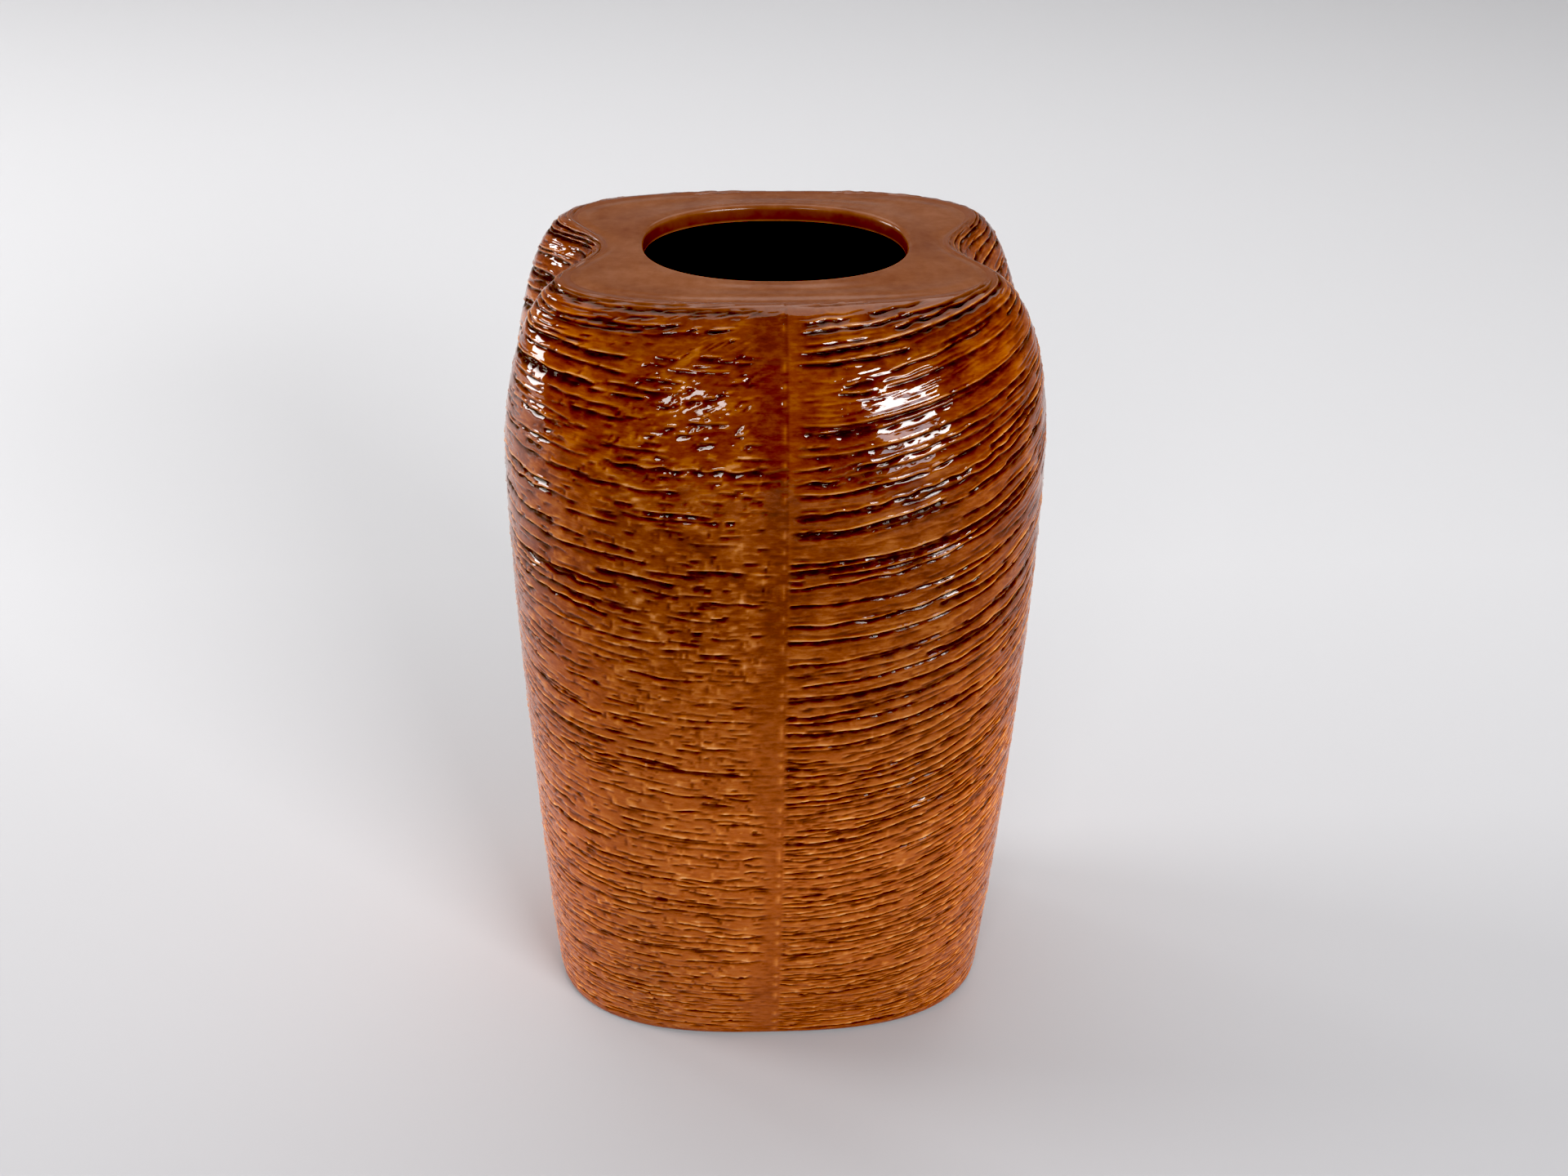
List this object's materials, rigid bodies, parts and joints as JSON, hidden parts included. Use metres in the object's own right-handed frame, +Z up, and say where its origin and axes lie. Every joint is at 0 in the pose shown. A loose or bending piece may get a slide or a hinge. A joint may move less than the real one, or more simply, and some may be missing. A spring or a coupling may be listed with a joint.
{
  "type": "art pottery vase",
  "caption": "Wide-shouldered oval vase with combed, amber-glazed walls, smooth waisted top deck and oval mouth, free standing on a flat foot.",
  "frame": {"origin": "centre of the foot on the table", "axes": "+Z up, front towards -Y, the wide way along X"},
  "size_m": [0.189, 0.1702, 0.3],
  "materials": {
    "combed_glaze": "glossy amber-brown glaze over combed clay, pooled dark in the grooves",
    "deck_glaze": "satin-gloss brown glaze on smooth clay",
    "seam_glaze": "glossy brown glaze over smeared slip",
    "slip": "fired joining slip under glaze",
    "base_clay": "glazed edge, bare buff clay underneath"
  },
  "bodies": {
    "root": {"left_half_shell": "combed_glaze", "right_half_shell": "combed_glaze", "top_deck": "deck_glaze", "base_slab": "base_clay", "front_seam_slip": "seam_glaze", "rear_seam_slip": "seam_glaze", "deck_slip_bed": "slip", "base_slip_bed": "slip"}
  },
  "joints": []
}
